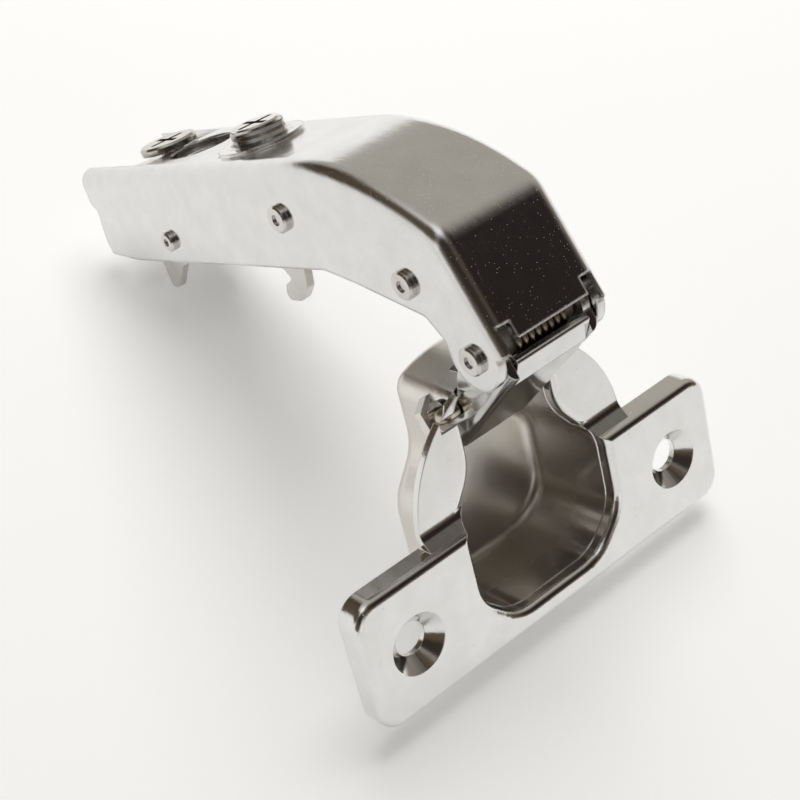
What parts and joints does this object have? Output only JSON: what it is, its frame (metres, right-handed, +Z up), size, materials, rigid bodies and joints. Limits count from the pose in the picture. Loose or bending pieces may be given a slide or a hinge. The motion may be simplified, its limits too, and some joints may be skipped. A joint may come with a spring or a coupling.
{
  "type": "concealed cup hinge",
  "caption": "Concealed cup hinge with a cranked clip-on arm, shown fully open: a drilled-in cup on a screw plate swings on folded links under spring load.",
  "frame": {"origin": "centre of the bounding box's footprint, on the ground under the hinge lying on its plate edge and arm heel", "axes": "+X from the arm's rear end towards the cup, +Y along the hinge pins, +Z up"},
  "size_m": [0.093, 0.0606, 0.0544],
  "materials": {
    "nickel_plate": "bright nickel plating, smooth, faintly pitted",
    "nickel_sheet_inner": "bright nickel plating over sheared sheet, slightly duller",
    "rivet_steel": "pressed rivet heads, plated",
    "yellow_wire": "drawn steel wire with a yellow passivated plating",
    "spring_steel": "oiled brown spring wire",
    "screw_nickel": "nickel plated screw, turned",
    "sleeve_acetal": "off-white moulded sleeve"
  },
  "bodies": {
    "arm": {"arm": "nickel_plate", "front_pin": "rivet_steel", "second_pin": "rivet_steel", "guide_rivet_front": "rivet_steel", "guide_rivet_rear": "rivet_steel", "closing_spring": "spring_steel", "spring_sleeve": "sleeve_acetal"},
    "outer_link": {"outer_link": "nickel_plate"},
    "inner_link": {"inner_link": "nickel_sheet_inner"},
    "cup": {"cup": "nickel_plate", "cup_pin": "yellow_wire"},
    "carrier": {"carrier": "nickel_sheet_inner", "latch_pin": "rivet_steel", "latch_spring": "spring_steel"},
    "latch": {"latch": "nickel_sheet_inner"},
    "depth_cam": {"depth_cam": "screw_nickel"},
    "side_screw": {"side_screw": "screw_nickel"}
  },
  "joints": [
    {"name": "outer_link_swing", "type": "hinge", "parent": "arm", "child": "outer_link", "pos_m": [0.03104, 0, 0.04221], "axis": [0, -1, 0], "range_deg": [0, 11.6]},
    {"name": "cup_swing", "type": "hinge", "parent": "outer_link", "child": "cup", "pos_m": [0.02577, 0, 0.02556], "axis": [0, -1, 0], "range_deg": [0, 83.4]},
    {"name": "inner_link_swing", "type": "hinge", "parent": "arm", "child": "inner_link", "pos_m": [0.01947, 0, 0.04454], "axis": [0, -1, 0], "range_deg": [-12.95, 0]},
    {"name": "depth_slide", "type": "slide", "parent": "arm", "child": "carrier", "axis": [0.7862, 0, 0.618], "range_m": [-0.0015, 0.0015]},
    {"name": "depth_cam_turn", "type": "hinge", "parent": "carrier", "child": "depth_cam", "pos_m": [-0.03577, 0, 0.02012], "axis": [-0.618, 0, 0.7862], "range_deg": [-180, 180]},
    {"name": "side_screw_turn", "type": "hinge", "parent": "arm", "child": "side_screw", "pos_m": [-0.0162, 0, 0.0355], "axis": [-0.618, 0, 0.7862], "range_deg": [-360, 360]},
    {"name": "latch_press", "type": "hinge", "parent": "carrier", "child": "latch", "pos_m": [-0.02666, 0, 0.0213], "axis": [0, -1, 0], "range_deg": [0, 10], "stiffness_Nm_per_rad": 0.03, "springref_deg": -28.65}
  ],
  "couplings": [
    {"joint": "outer_link_swing", "follows": "cup_swing", "ratio": 0.13895},
    {"joint": "inner_link_swing", "follows": "cup_swing", "ratio": -0.1549},
    {"joint": "depth_cam_turn", "follows": "depth_slide", "rad_per_m": 2094.4}
  ]
}
